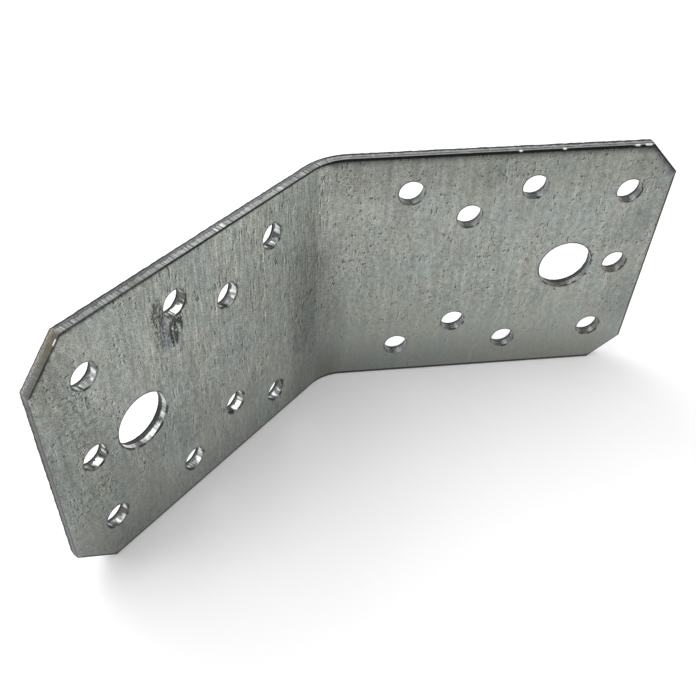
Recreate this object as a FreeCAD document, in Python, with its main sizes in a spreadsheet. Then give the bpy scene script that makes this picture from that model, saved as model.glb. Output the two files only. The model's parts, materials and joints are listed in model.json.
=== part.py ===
import FreeCAD, Part
import math
import os
import Sketcher

# Angle bracket: one strip of steel sheet, blanked and pierced in a press, then folded to an obtuse angle.
# Millimetres. Z runs up along the fold line, X along the line that joins the two leg ends, and the hollow
# side faces -Y. The bracket stands on its lower edge, and the origin is under the middle of its box.
# The press cuts from the inner face: there every cut has a rolled rim, then a smooth land, and the part
# nearest to the outer face is torn, so the outline falls back a little and the holes open out.
# The corners were cropped alike on both legs, but the shear then cut the right leg a little short.

NODE = "angle_bracket"

# Driving sizes: alias, value, meaning
DRIVING_SIZES = (
    ("sheet_thickness", "2.5", "wall of the steel sheet"),
    ("bracket_width", "55", "height of the strip along the fold line"),
    ("leg_length", "70", "inner face, from the sharp inner corner to the end of the left leg"),
    ("right_leg_short", "1.25", "how much shorter the right leg was cut, across its cropped corners"),
    ("fold_angle", "135", "angle between the two inner faces"),
    ("fold_inner_radius", "10", "inside of the fold"),
    ("corner_chamfer", "7.5", "cut across the free corners of the left leg"),
    ("bolt_hole_diameter", "11", "hole for an M10 bolt, one in each leg"),
    ("nail_hole_diameter", "5", "holes for 4 mm nails or 5 mm screws, nine in each leg"),
    ("bolt_hole_to_end", "19", "bolt hole, centre to the left leg's end"),
    ("end_nail_to_end", "8.25", "single nail hole beside the bolt hole, centre to the left leg's end"),
    ("end_pair_to_end", "9.75", "nail holes in the free corners, centres to the left leg's end"),
    ("end_pair_spacing", "35", "nail holes in the free corners, apart across the leg"),
    ("outer_pair_to_end", "29.25", "next pair of nail holes, centres to the left leg's end"),
    ("outer_pair_spacing", "39", "next pair of nail holes, apart across the leg"),
    ("middle_pair_to_end", "41.5", "inset pair of nail holes, centres to the left leg's end"),
    ("middle_pair_spacing", "27", "inset pair of nail holes, apart across the leg"),
    ("fold_pair_to_end", "53.75", "pair of nail holes beside the fold, centres to the left leg's end"),
    ("fold_pair_spacing", "39", "pair of nail holes beside the fold, apart across the leg"),
    ("edge_roll", "0.4", "rounding of the outline on the inner face, where the cut began"),
    ("edge_break_depth", "1.1", "torn part of the outline's edge, measured in from the outer face"),
    ("edge_break_inset", "0.15", "how far the torn part falls back at the outer face"),
    ("bolt_hole_roll", "0.3", "rounding of a bolt hole's rim on the inner face, where the punch went in"),
    ("nail_hole_bevel", "0.15", "bevel that stands for the narrow rounding of a nail hole's rim there"),
    ("hole_break_depth", "1.1", "torn part of each hole's wall, measured in from the outer face"),
    ("hole_break_flare", "0.2", "how far the torn wall opens out at the outer face"),
)

# The pairs of nail holes in a leg, by the words that begin their sizes
NAIL_PAIRS = ("end_pair", "outer_pair", "middle_pair", "fold_pair")

# How near a point must be to a surface to count as lying on it
NEAR = 1e-4

# How sketches number a line's ends, a circle's centre, and their own axes and origin
START, END, CENTRE = range(1, 4)
X_AXIS, Y_AXIS = range(-1, -3, -1)

doc = FreeCAD.newDocument(NODE)

# Spreadsheet of the driving sizes
sizes = doc.addObject("Spreadsheet::Sheet", "Sizes")
for row, (alias, value, meaning) in enumerate(DRIVING_SIZES, start=1):
    sizes.set(f"A{row}", meaning)
    sizes.set(f"B{row}", value)
    sizes.setAlias(f"B{row}", alias)
doc.recompute()

# Half of the bend, which is the slope of each leg away from X
HALF_BEND = "(180 deg - Sizes.fold_angle * 1 deg) / 2"
half_bend = math.radians((180 - sizes.fold_angle) / 2)

body = doc.addObject("PartDesign::Body", "Bracket")
body.Label = NODE


def origin_plane(role):
    """One of the body's own origin planes."""
    return next(plane for plane in body.Origin.OriginFeatures if plane.Role == role)


def new_sketch(name, role):
    """A sketch on one of the body's origin planes."""
    sketch = body.newObject("Sketcher::SketchObject", name)
    sketch.AttachmentSupport = [(origin_plane(role), "")]
    sketch.MapMode = "FlatFace"
    return sketch


def bind(sketch, name, constraint, expression):
    """A dimension of a sketch that follows the spreadsheet."""
    sketch.addConstraint(constraint)
    sketch.renameConstraint(sketch.ConstraintCount - 1, name)
    sketch.setExpression(f"Constraints.{name}", expression)


def points_along(edge):
    """The two ends and the middle of an edge."""
    first, last = edge.ParameterRange
    return [edge.valueAt(parameter) for parameter in (first, (first + last) / 2, last)]


def depth_in_leg(point):
    """How far a point of either leg lies behind the plane of the inner face."""
    return abs(point.x) * math.sin(half_bend) + point.y * math.cos(half_bend)


def depth_in_fold(point):
    """How far a point of the fold lies behind its inside, along the radius."""
    axis_y = -sizes.fold_inner_radius / math.cos(half_bend)
    return math.hypot(point.x, point.y - axis_y) - sizes.fold_inner_radius


def lies_at_depth(edge, depth):
    """Does the whole edge lie on the sheet's surface at this depth, on the legs or round the fold?"""
    depths = [(depth_in_leg(point), depth_in_fold(point)) for point in points_along(edge)]
    return all(abs(leg - depth) < NEAR or abs(fold - depth) < NEAR for leg, fold in depths)


def stands_at(edge, corner):
    """Is this the upright edge at a corner of the section?"""
    return all(math.hypot(point.x - corner.x, point.y - corner.y) < NEAR for point in points_along(edge))


def is_free_corner(edge, side):
    """Does this edge run through the sheet at the free top corner of a leg? The side is 1 right, -1 left."""
    points = points_along(edge)
    depths = sorted(depth_in_leg(point) for point in points)
    through = depths[0] < NEAR and depths[-1] > sizes.sheet_thickness - NEAR
    return through and all(point.z > NEAR and point.x * side > 0 for point in points)


def is_outline(edge, depth):
    """Is this edge part of the upper half's outline at this depth? Fold lines and the middle plane aren't."""
    points = points_along(edge)
    in_middle_plane = all(abs(point.z) < NEAR for point in points)
    is_fold_line = stands_at(edge, points[0]) and abs(depth_in_fold(points[0]) - depth) < NEAR
    return lies_at_depth(edge, depth) and not in_middle_plane and not is_fold_line


def is_hole_rim(edge, diameter):
    """Is this edge the rim of a hole of this diameter on the inner face?"""
    on_inner_face = edge.isClosed() and lies_at_depth(edge, 0)
    return on_inner_face and abs(2 * edge.Curve.Radius - diameter) < NEAR


def dress(kind, name, base, wanted, expressions):
    """A fillet or chamfer on those edges of the base that pass a test."""
    feature = body.newObject(kind, name)
    named_edges = enumerate(base.Shape.Edges, start=1)
    feature.Base = (base, [f"Edge{number}" for number, edge in named_edges if wanted(edge)])
    for size, expression in expressions.items():
        feature.setExpression(size, expression)
    doc.recompute()
    return feature


# The folded section, first with sharp corners. Both legs slope alike away from the Y axis
section = new_sketch("Section", "XY_Plane")
along_leg = FreeCAD.Vector(math.cos(half_bend), -math.sin(half_bend), 0)
through_sheet = FreeCAD.Vector(math.sin(half_bend), math.cos(half_bend), 0)
inner_corner = FreeCAD.Vector(0, 0, 0)
outer_corner = FreeCAD.Vector(0, sizes.sheet_thickness / math.cos(half_bend), 0)
right_leg_length = sizes.leg_length - sizes.right_leg_short
right_inner_end = along_leg * right_leg_length
right_outer_end = right_inner_end + through_sheet * sizes.sheet_thickness
along_left_leg = FreeCAD.Vector(-along_leg.x, along_leg.y, 0)
through_left_leg = FreeCAD.Vector(-through_sheet.x, through_sheet.y, 0)
left_inner_end = along_left_leg * sizes.leg_length
left_outer_end = left_inner_end + through_left_leg * sizes.sheet_thickness
corners = (inner_corner, right_inner_end, right_outer_end, outer_corner, left_outer_end, left_inner_end)
INNER_RIGHT, END_RIGHT, OUTER_RIGHT, OUTER_LEFT, END_LEFT, INNER_LEFT = range(len(corners))
for i, corner in enumerate(corners):
    section.addGeometry(Part.LineSegment(corner, corners[(i + 1) % len(corners)]))
for i in range(len(corners)):
    section.addConstraint(Sketcher.Constraint("Coincident", i, END, (i + 1) % len(corners), START))
section.addConstraint(Sketcher.Constraint("Coincident", INNER_RIGHT, START, X_AXIS, START))
section.addConstraint(Sketcher.Constraint("PointOnObject", OUTER_LEFT, START, Y_AXIS))
section.addConstraint(Sketcher.Constraint("Equal", END_RIGHT, END_LEFT))
for inner, end, outer in ((INNER_RIGHT, END_RIGHT, OUTER_RIGHT), (INNER_LEFT, END_LEFT, OUTER_LEFT)):
    section.addConstraint(Sketcher.Constraint("Parallel", inner, outer))
    section.addConstraint(Sketcher.Constraint("Perpendicular", inner, end))
left_leg_constraint = Sketcher.Constraint("Distance", INNER_LEFT, sizes.leg_length)
bind(section, "left_leg_length", left_leg_constraint, "Sizes.leg_length")
right_leg_constraint = Sketcher.Constraint("Distance", INNER_RIGHT, right_leg_length)
bind(section, "right_leg_length", right_leg_constraint, "Sizes.leg_length - Sizes.right_leg_short")
wall_constraint = Sketcher.Constraint("Distance", END_RIGHT, sizes.sheet_thickness)
bind(section, "sheet_thickness", wall_constraint, "Sizes.sheet_thickness")
fold_radians = math.radians(sizes.fold_angle)
fold_constraint = Sketcher.Constraint("Angle", INNER_LEFT, END, INNER_RIGHT, START, fold_radians)
bind(section, "fold_angle", fold_constraint, "Sizes.fold_angle * 1 deg")

# The upper half of the strip, from its middle plane up
upper_half = body.newObject("PartDesign::Pad", "UpperHalf")
upper_half.Profile = section
upper_half.setExpression("Length", "Sizes.bracket_width / 2")
doc.recompute()

# The fold, whose inside and outside turn about one axis
FOLD_OUTER_RADIUS = "Sizes.fold_inner_radius + Sizes.sheet_thickness"
fold_inside = dress("PartDesign::Fillet", "FoldInside", upper_half,
                    lambda edge: stands_at(edge, inner_corner), {"Radius": "Sizes.fold_inner_radius"})
fold_outside = dress("PartDesign::Fillet", "FoldOutside", fold_inside,
                     lambda edge: stands_at(edge, outer_corner), {"Radius": FOLD_OUTER_RADIUS})

# The free corners, cut across at 45 degrees at the same distance from the fold
left_corner_cut = dress("PartDesign::Chamfer", "LeftCornerCut", fold_outside,
                        lambda edge: is_free_corner(edge, -1), {"Size": "Sizes.corner_chamfer"})
right_corner_cut = dress("PartDesign::Chamfer", "RightCornerCut", left_corner_cut,
                         lambda edge: is_free_corner(edge, 1),
                         {"Size": "Sizes.corner_chamfer - Sizes.right_leg_short"})

# The blanked outline: the torn part beside the outer face, then the rolled rim of the inner face
edge_break = dress("PartDesign::Chamfer", "EdgeBreak", right_corner_cut,
                   lambda edge: is_outline(edge, sizes.sheet_thickness),
                   {"Size": "Sizes.edge_break_depth", "Size2": "Sizes.edge_break_inset"})
edge_break.ChamferType = "Two distances"
edge_break.FlipDirection = True
doc.recompute()
edge_roll = dress("PartDesign::Fillet", "EdgeRoll", edge_break, lambda edge: is_outline(edge, 0),
                  {"Radius": "Sizes.edge_roll"})

# The lower half, which mirrors the upper one
whole_blank = body.newObject("PartDesign::Mirrored", "WholeBlank")
whole_blank.TransformMode = "Whole shape"
whole_blank.MirrorPlane = (origin_plane("XY_Plane"), [""])
whole_blank.Refine = True
body.Tip = whole_blank
doc.recompute()


def hole_sketch(name, places, diameter):
    """Circles on the right leg's outer face. Each place is an expression along the leg and one up it."""
    sketch = new_sketch(name, "XZ_Plane")
    outer_face = FreeCAD.Placement(FreeCAD.Vector(), FreeCAD.Rotation(FreeCAD.Vector(0, -1, 0), 1))
    sketch.AttachmentOffset = outer_face
    sketch.setExpression("AttachmentOffset.Base.x", f"Sizes.sheet_thickness * sin({HALF_BEND})")
    sketch.setExpression("AttachmentOffset.Base.z", f"-Sizes.sheet_thickness * cos({HALF_BEND})")
    sketch.setExpression("AttachmentOffset.Rotation.Angle", HALF_BEND)
    for number, (along, up) in enumerate(places):
        circle = sketch.addGeometry(Part.Circle())
        across = Sketcher.Constraint("DistanceX", X_AXIS, START, circle, CENTRE, 1.0)
        bind(sketch, f"along_{number}", across, along)
        upward = Sketcher.Constraint("DistanceY", X_AXIS, START, circle, CENTRE, 1.0)
        bind(sketch, f"up_{number}", upward, up)
        round_size = Sketcher.Constraint("Diameter", circle, 1.0)
        bind(sketch, f"diameter_{number}", round_size, diameter)
    doc.recompute()
    return sketch


def punch(name, sketch, diameter):
    """Holes through the sheet from its outer face, where the torn wall opens out."""
    base_volume = body.Shape.Volume
    hole = body.newObject("PartDesign::Hole", name)
    hole.Profile = sketch
    hole.ThreadType = "None"
    hole.DepthType = "ThroughAll"
    hole.Reversed = True
    hole.HoleCutType = "Countersink"
    hole.HoleCutCustomValues = True
    hole.setExpression("Diameter", diameter)
    hole.setExpression("HoleCutDiameter", f"{diameter} + 2 * Sizes.hole_break_flare")
    hole.setExpression("HoleCutCountersinkAngle",
                       "2 * atan(Sizes.hole_break_flare / Sizes.hole_break_depth)")
    doc.recompute()
    if hole.Shape.Volume >= base_volume:
        raise RuntimeError(f"{name} cuts nothing")
    return hole


def from_end(size):
    """The place along either leg that lies as far from the fold as this place on the left leg."""
    return f"Sizes.leg_length - Sizes.{size}"


# The right leg's holes: one for a bolt on the middle line, and nine for nails
bolt_place = [(from_end("bolt_hole_to_end"), "0")]
nail_places = [(from_end("end_nail_to_end"), "0")]
for pair in NAIL_PAIRS:
    for side in ("", "-"):
        nail_places.append((from_end(f"{pair}_to_end"), f"{side}Sizes.{pair}_spacing / 2"))
bolt_sketch = hole_sketch("BoltHolePlace", bolt_place, "Sizes.bolt_hole_diameter")
bolt_hole = punch("BoltHole", bolt_sketch, "Sizes.bolt_hole_diameter")
nail_sketch = hole_sketch("NailHolePlaces", nail_places, "Sizes.nail_hole_diameter")
nail_holes = punch("NailHoles", nail_sketch, "Sizes.nail_hole_diameter")

# The left leg's holes, mirrored about the plane through the fold
left_holes = body.newObject("PartDesign::Mirrored", "LeftLegHoles")
left_holes.Originals = [bolt_hole, nail_holes]
left_holes.MirrorPlane = (origin_plane("YZ_Plane"), [""])
body.Tip = left_holes
doc.recompute()

# The rolled rim of every hole, where the punch drew the inner face down with it
bolt_rims = dress("PartDesign::Fillet", "BoltHoleRims", left_holes,
                  lambda edge: is_hole_rim(edge, sizes.bolt_hole_diameter),
                  {"Radius": "Sizes.bolt_hole_roll"})
nail_rims = dress("PartDesign::Chamfer", "NailHoleRims", bolt_rims,
                  lambda edge: is_hole_rim(edge, sizes.nail_hole_diameter),
                  {"Size": "Sizes.nail_hole_bevel"})
body.Tip = nail_rims

# Place: on its lower edge, with the origin under the middle of the box
HIGHEST_Y = f"{FOLD_OUTER_RADIUS} - Sizes.fold_inner_radius / cos({HALF_BEND})"
ROLL_SAVES = f"Sizes.edge_roll * (sin({HALF_BEND}) + cos({HALF_BEND}) - 1)"
LOWEST_Y = f"{ROLL_SAVES} - Sizes.leg_length * sin({HALF_BEND})"
body.setExpression("Placement.Base.x", f"Sizes.right_leg_short * cos({HALF_BEND}) / 2")
body.setExpression("Placement.Base.y", f"-(({HIGHEST_Y}) + ({LOWEST_Y})) / 2")
body.setExpression("Placement.Base.z", "Sizes.bracket_width / 2")
doc.recompute()

# Checks, then the file
for item in doc.Objects:
    if {"Invalid", "Error"} & set(item.State):
        raise RuntimeError(f"{item.Name} failed: {item.State}")
if body.Shape.isNull() or not body.Shape.isValid() or len(body.Shape.Solids) != 1:
    raise RuntimeError(f"{NODE} is not one valid solid")
os.makedirs("parts", exist_ok=True)
body.Shape.exportStep(f"parts/{NODE}.step")
print(f"{NODE}: {body.Shape.Volume:.1f} mm3, {len(body.Shape.Faces)} faces, {body.Shape.BoundBox}")
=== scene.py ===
# %% [markdown]
# # A galvanised angle bracket
# The bracket joins two timbers that meet at an obtuse angle. A press cuts a strip of zinc-coated steel to
# length, crops its corners, punches the nail and bolt holes and folds the strip once. This lesson makes the
# same steps in the same order, because each step leaves marks that the finished bracket still shows: a
# rolled rim where the cut began, a bright land where the tool sheared the steel, and a dull torn band where
# the rest broke away.
#
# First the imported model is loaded. It is the fixed frame: it gives the box that the bracket has to fill and
# the place and size of every hole, so that none of these is measured twice.

# %% Load the frame
import json
import math
import random

import bmesh
import bpy
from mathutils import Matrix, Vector


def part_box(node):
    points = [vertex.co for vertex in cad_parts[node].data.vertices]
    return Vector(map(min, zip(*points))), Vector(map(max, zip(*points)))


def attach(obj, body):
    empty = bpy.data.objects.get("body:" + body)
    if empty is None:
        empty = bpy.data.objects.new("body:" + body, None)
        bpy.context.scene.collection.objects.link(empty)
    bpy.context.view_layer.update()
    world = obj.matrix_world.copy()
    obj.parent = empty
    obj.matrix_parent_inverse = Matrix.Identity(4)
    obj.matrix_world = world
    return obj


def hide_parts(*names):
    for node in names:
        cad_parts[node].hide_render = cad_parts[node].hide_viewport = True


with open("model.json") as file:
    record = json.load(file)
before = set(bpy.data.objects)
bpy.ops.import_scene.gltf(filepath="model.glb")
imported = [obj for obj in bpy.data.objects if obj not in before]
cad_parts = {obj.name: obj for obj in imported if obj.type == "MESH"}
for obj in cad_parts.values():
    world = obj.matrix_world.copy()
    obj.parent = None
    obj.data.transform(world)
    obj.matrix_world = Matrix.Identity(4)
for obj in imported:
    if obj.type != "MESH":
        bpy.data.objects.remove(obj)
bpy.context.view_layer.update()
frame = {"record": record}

MM = 0.001

box_low, box_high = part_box("angle_bracket")
print("frame box, mm:", [round(side / MM, 2) for side in box_high - box_low])

# %% [markdown]
# ## Sizes
# Blender's tools have tolerances that suit things as large as a room, and this sheet is thinner than some of
# them. So the bracket is modelled with one unit for each millimetre and scaled down at the very end.
#
# A fold stretches the outside of the sheet. Here the inside keeps its length, so the flat strip is as long as
# the two straight legs and the inside of the fold together. The right leg was cut a little short, so the fold
# lies a little to the right of the middle.

# %% Sizes in millimetres
SHEET = 2.5
FOLD_RADIUS = 10.0
FOLD_TURN = math.radians(45)
LEG = 70.0
RIGHT_LEG_SHORT = 1.25
CORNER_CUT = 7.5
WIDTH = (box_high.z - box_low.z) / MM

half_turn = FOLD_TURN / 2
corner_to_fold = FOLD_RADIUS * math.tan(half_turn)
half_arc = FOLD_RADIUS * half_turn
fold_saves = corner_to_fold - half_arc
left_end = LEG - fold_saves
right_end = left_end - RIGHT_LEG_SHORT
fold_x = RIGHT_LEG_SHORT * math.cos(half_turn) / 2
print(f"flat strip: {left_end + right_end:.2f} x {WIDTH:.2f} x {SHEET} mm, fold arc {2 * half_arc:.2f} mm")

# %% [markdown]
# ## Working as by hand
# Every tool in edit mode acts on what is selected. The helpers below do what a hand does: they click one
# piece, open it for editing, and click the corners, edges or faces that lie in a certain place.


# %% Hands: click a piece, open it, pick parts of it
def select_only(piece):
    """Makes a piece the only selected one, and the active one."""
    bpy.ops.object.select_all(action="DESELECT")
    piece.select_set(True)
    bpy.context.view_layer.objects.active = piece


def open_piece(piece):
    """Opens a piece for editing."""
    select_only(piece)
    bpy.ops.object.mode_set(mode="EDIT")


def close_piece():
    """Goes back from editing to whole pieces."""
    bpy.ops.object.mode_set(mode="OBJECT")


def pick(piece, kind, wanted):
    """Selects the corners, edges or faces of an open piece that pass a test, and says how many."""
    bpy.ops.mesh.select_mode(type=kind)
    bpy.ops.mesh.select_all(action="DESELECT")
    shape = bmesh.from_edit_mesh(piece.data)
    parts = {"VERT": shape.verts, "EDGE": shape.edges, "FACE": shape.faces}[kind]
    picked = [part for part in parts if wanted(part)]
    for part in picked:
        part.select_set(True)
    shape.select_flush_mode()
    bmesh.update_edit_mesh(piece.data)
    return len(picked)


# %% [markdown]
# ## The strip
# A cutting press doesn't leave a square edge. The blade first draws the surface down into a rounded rim, then
# it shears a smooth land, and at last the rest tears away and falls back a little. A bevel on a box could
# round the rim, but it would round it in the same way on both faces.
#
# So the strip starts as a thin slab that is only as thick as the land. Its corners are cropped with a bevel
# of one segment, and then the right end is cut across with a bisect, as the shear did, which leaves shorter
# crops there. The outer face is inset and lifted in one stroke, which makes the torn band, and the inner face
# is inset in small strokes that follow a quarter of an ellipse, which makes the rolled rim: wide on the face
# and shallow down the edge.

# %% Slab, cropped corners, torn band and rolled rim
SAME_PLACE = 1e-4
TORN_DEPTH = 1.1
TORN_INSET = 0.24
RIM_DEPTH = 0.4
RIM_WIDTH = 1.1
RIM_STEPS = 8
land_depth = SHEET - TORN_DEPTH - RIM_DEPTH

bpy.ops.object.select_all(action="DESELECT")
bpy.ops.mesh.primitive_cube_add(size=1, location=(0, RIM_DEPTH + land_depth / 2, WIDTH / 2),
                                scale=(2 * left_end, land_depth, WIDTH))
bracket = bpy.context.active_object
bracket.name = "galvanised_bracket"
bpy.ops.object.transform_apply(location=True, rotation=True, scale=True)


def runs_through_sheet(edge):
    """Does this edge of the strip run straight from one face to the other?"""
    first, last = (corner.co for corner in edge.verts)
    return abs(first.x - last.x) + abs(first.z - last.z) < SAME_PLACE


def faces_along_y(face, way):
    """Does this face look to the outer side (way 1) or to the inner side (way -1)?"""
    return face.normal.y * way > 0.99


open_piece(bracket)
pick(bracket, "EDGE", runs_through_sheet)
bpy.ops.mesh.bevel(offset=CORNER_CUT, segments=1, affect="EDGES")
bpy.ops.mesh.select_all(action="SELECT")
bpy.ops.mesh.bisect(plane_co=(right_end, 0, 0), plane_no=(1, 0, 0), use_fill=True, clear_outer=True)
pick(bracket, "FACE", lambda face: faces_along_y(face, 1))
bpy.ops.mesh.inset(thickness=TORN_INSET, depth=TORN_DEPTH)
pick(bracket, "FACE", lambda face: faces_along_y(face, -1))
for step in range(RIM_STEPS):
    before, after = (math.pi / 2 * number / RIM_STEPS for number in (step, step + 1))
    across = RIM_WIDTH * (math.cos(before) - math.cos(after))
    up = RIM_DEPTH * (math.sin(after) - math.sin(before))
    bpy.ops.mesh.inset(thickness=across, depth=up)
close_piece()
print("strip:", len(bracket.data.vertices), "corners,",
      [round(side, 3) for side in bracket.dimensions], "mm")

# %% [markdown]
# ## Lines for the fold, and a finer edge
# A flat face can't bend unless it has lines to bend along, so the strip is bisected where the fold will be.
# The edge is then subdivided into pieces about half a millimetre long, to be roughened in the next step. All
# of the strip could be subdivided, but that would fill the flat faces with corners that nothing needs. So the
# outline is taken run by run, each run known by the way it faces.

# %% Fold lines and fine divisions along the outline
FOLD_LINES = 24
EDGE_PITCH = 0.5
RIM_SLACK = 0.05

open_piece(bracket)
for number in range(FOLD_LINES + 1):
    place = half_arc * (2 * number / FOLD_LINES - 1)
    bpy.ops.mesh.select_all(action="SELECT")
    bpy.ops.mesh.bisect(plane_co=(place, 0, 0), plane_no=(1, 0, 0))


def is_on_run(edge, outward, reach):
    """Does this edge follow the outline on the side that faces a given way, outside the fold?"""
    first, last = (corner.co - Vector((0, 0, WIDTH / 2)) for corner in edge.verts)
    near_rim = first.dot(outward) > reach - RIM_WIDTH - RIM_SLACK
    along_run = abs((last - first).dot(outward)) < SAME_PLACE and abs(first.y - last.y) < SAME_PLACE
    outside_fold = abs(first.x + last.x) / 2 > half_arc + EDGE_PITCH
    return near_rim and along_run and outside_fold


diagonal = math.sqrt(0.5)
crop_reach = diagonal * (left_end + WIDTH / 2 - CORNER_CUT)
outline_runs = [((0, 0, up), WIDTH / 2, left_end - half_arc - CORNER_CUT) for up in (1, -1)]
for way, end, crop in ((-1, left_end, CORNER_CUT), (1, right_end, CORNER_CUT - RIGHT_LEG_SHORT)):
    outline_runs.append(((way, 0, 0), end, WIDTH - 2 * crop))
    outline_runs += [((way * diagonal, 0, up * diagonal), crop_reach, crop / diagonal) for up in (1, -1)]
for outward, reach, length in outline_runs:
    pick(bracket, "EDGE", lambda edge: is_on_run(edge, Vector(outward), reach))
    bpy.ops.mesh.subdivide(number_cuts=round(length / EDGE_PITCH) - 1)
print("fold lines:", FOLD_LINES + 1, "runs of the outline divided:", len(outline_runs))

# %% [markdown]
# ## Torn line and nicks
# Torn steel doesn't end in a straight line, so the outermost corners of the torn band get a little random
# play and are pressed flat again. The upper rim of the right leg was knocked in four places, so the corners
# of the rim there are pushed in and down. The strip is still open from the step before.

# %% Ragged tear and knocked rim
TORN_RAG = 0.055
NICKS = ((36.1, 0.5), (44.6, 0.55), (58.9, 0.8), (61.1, 1.1))
NICK_HIGH = 0.2
NICK_DEEP = RIM_DEPTH + 0.05
NICK_PUSH = (0, 0.05, -0.07)


def is_torn_corner(corner):
    """Does this corner lie on the outer side of the strip, outside the fold?"""
    return corner.co.y > SHEET - SAME_PLACE and abs(corner.co.x) > half_arc + EDGE_PITCH


def is_in_nick(corner, x, half_wide):
    """Does this corner of the upper rim lie in a nick?"""
    on_rim = corner.co.z > WIDTH - NICK_HIGH and corner.co.y < NICK_DEEP
    return on_rim and abs(corner.co.x - x) < half_wide


ragged = pick(bracket, "VERT", is_torn_corner)
bpy.ops.transform.vertex_random(offset=TORN_RAG, uniform=1.0, normal=0.0, seed=5)
bpy.ops.transform.resize(value=(1, 0, 1), center_override=(0, SHEET, 0))
for nick_x, half_wide in NICKS:
    pick(bracket, "VERT", lambda corner: is_in_nick(corner, nick_x, half_wide))
    bpy.ops.transform.translate(value=NICK_PUSH)
close_piece()
print("torn corners moved:", ragged, "nicks:", len(NICKS))
print("strip with fine edge:", len(bracket.data.vertices), "corners,", len(bracket.data.polygons), "faces")

# %% [markdown]
# ## The form of a punch
# A hole in sheet steel has the form of what cut it: rolled rim, land, torn wall that opens out towards the
# back. Round each rim the punch pressed a very shallow ring into the zinc, where the material later paints
# part of the rim's dark line of shade. All of it is round, so a list of rings, each with a depth and a radius,
# says it in full.

# %% Rings of a punch
RIM_RINGS = 6
PRESSED_RING = (0.3, 0.01)
HOLE_FLARE = 0.2
CLEAR_OF_SHEET = 1.5


def ring_list(radius, rim):
    """(depth, radius) of the rings from in front of the sheet to the land, and of those behind the land."""
    wide, deep = rim
    ring_wide, ring_deep = PRESSED_RING
    widest = radius + wide + 2 * ring_wide
    front = [(-CLEAR_OF_SHEET, widest), (-ring_deep, widest), (ring_deep, radius + wide)]
    for number in reversed(range(RIM_RINGS)):
        angle = math.pi / 2 * number / RIM_RINGS
        front.append((deep * (1 - math.sin(angle)), radius + wide * (1 - math.cos(angle))))
    flare = HOLE_FLARE * (1 + CLEAR_OF_SHEET / TORN_DEPTH)
    return front, [(SHEET - TORN_DEPTH, radius), (SHEET + CLEAR_OF_SHEET, radius + flare)]


bores = [mount for mount in frame["record"]["mounts"] if mount["kind"] == "bore"]
nail_radius, bolt_radius = sorted({mount["dims"]["r_mm"] for mount in bores})
print(len(bores), "holes, radii", nail_radius, "and", bolt_radius, "mm")

# %% [markdown]
# ## The punches
# Instead of shaping twenty holes, one punch of each size is shaped, to be copied later. It starts as the
# circle where the land begins, and each ring after that is extruded and scaled, first to the back and then to
# the front. The circle gets a little random play before it is drawn out, so that the marks of the tool run
# straight through the land, as they do on the real one.

# %% One punch of each size
BOLT_SIDES = 112
NAIL_SIDES = 72
BOLT_RIM = (0.32, 0.22)
NAIL_RIM = (0.22, 0.16)
TOOL_PLAY = 0.016
TORN_PLAY = 0.012


def draw_out(rings, depth, radius, seed):
    """Extrudes the selected ring through a list of rings. With a seed, the steel tears unevenly."""
    for next_depth, next_radius in rings:
        bpy.ops.mesh.extrude_edges_move(TRANSFORM_OT_translate={"value": (0, next_depth - depth, 0)})
        grow = next_radius / radius
        bpy.ops.transform.resize(value=(grow, 1, grow), center_override=(0, next_depth, 0))
        if seed is not None:
            bpy.ops.transform.vertex_random(offset=TORN_PLAY, uniform=1.0, normal=0.0, seed=seed)
        depth, radius = next_depth, next_radius


def shape_punch(name, radius, sides, rim, seed):
    """A punch along Y, drawn out ring by ring from the circle where the land begins."""
    front, back = ring_list(radius, rim)
    land_start = front[-1][0]
    bpy.ops.object.select_all(action="DESELECT")
    bpy.ops.mesh.primitive_circle_add(vertices=sides, radius=radius, location=(0, land_start, 0),
                                      rotation=(math.pi / 2, 0, 0))
    punch = bpy.context.active_object
    punch.name = name
    bpy.ops.object.transform_apply(location=True, rotation=True, scale=True)
    open_piece(punch)
    bpy.ops.mesh.select_all(action="SELECT")
    bpy.ops.transform.vertex_random(offset=TOOL_PLAY, uniform=1.0, normal=0.0, seed=seed)
    bpy.ops.transform.resize(value=(1, 0, 1), center_override=(0, land_start, 0))
    draw_out(back, land_start, radius, seed)
    pick(punch, "VERT", lambda corner: abs(corner.co.y - land_start) < SAME_PLACE)
    draw_out(front[-2::-1], land_start, radius, None)
    bpy.ops.mesh.select_mode(type="EDGE")
    bpy.ops.mesh.select_all(action="SELECT")
    bpy.ops.mesh.region_to_loop()
    bpy.ops.mesh.edge_face_add()
    bpy.ops.mesh.select_all(action="SELECT")
    bpy.ops.mesh.normals_make_consistent(inside=False)
    close_piece()
    return punch


punch_of_size = {
    nail_radius: shape_punch("nail_punch", nail_radius, NAIL_SIDES, NAIL_RIM, seed=3),
    bolt_radius: shape_punch("bolt_punch", bolt_radius, BOLT_SIDES, BOLT_RIM, seed=8),
}
for punch in punch_of_size.values():
    print(punch.name, len(punch.data.vertices), "corners,", [round(side, 2) for side in punch.dimensions])

# %% [markdown]
# ## The places of the holes
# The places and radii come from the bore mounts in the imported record. They lie on the folded bracket, so each
# is measured along its leg and moved back by what the fold saves.

# %% Places on the flat strip
corner_y = box_high.y / MM - (FOLD_RADIUS + SHEET - FOLD_RADIUS / math.cos(half_turn))


def place_on_strip(mount):
    """Where a hole of the folded bracket lies on the flat strip, as (x, z)."""
    x, y, z = (part / MM for part in mount["pos_m"])
    x -= fold_x
    along_leg = abs(x) * math.cos(half_turn) - (y - corner_y) * math.sin(half_turn)
    return math.copysign(along_leg - fold_saves, x), z - box_low.z / MM


hole_places = [(*place_on_strip(mount), mount["dims"]["r_mm"]) for mount in bores]
print("outermost holes at x =", [round(pick_end(hole_places)[0], 2) for pick_end in (min, max)], "mm")

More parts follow.
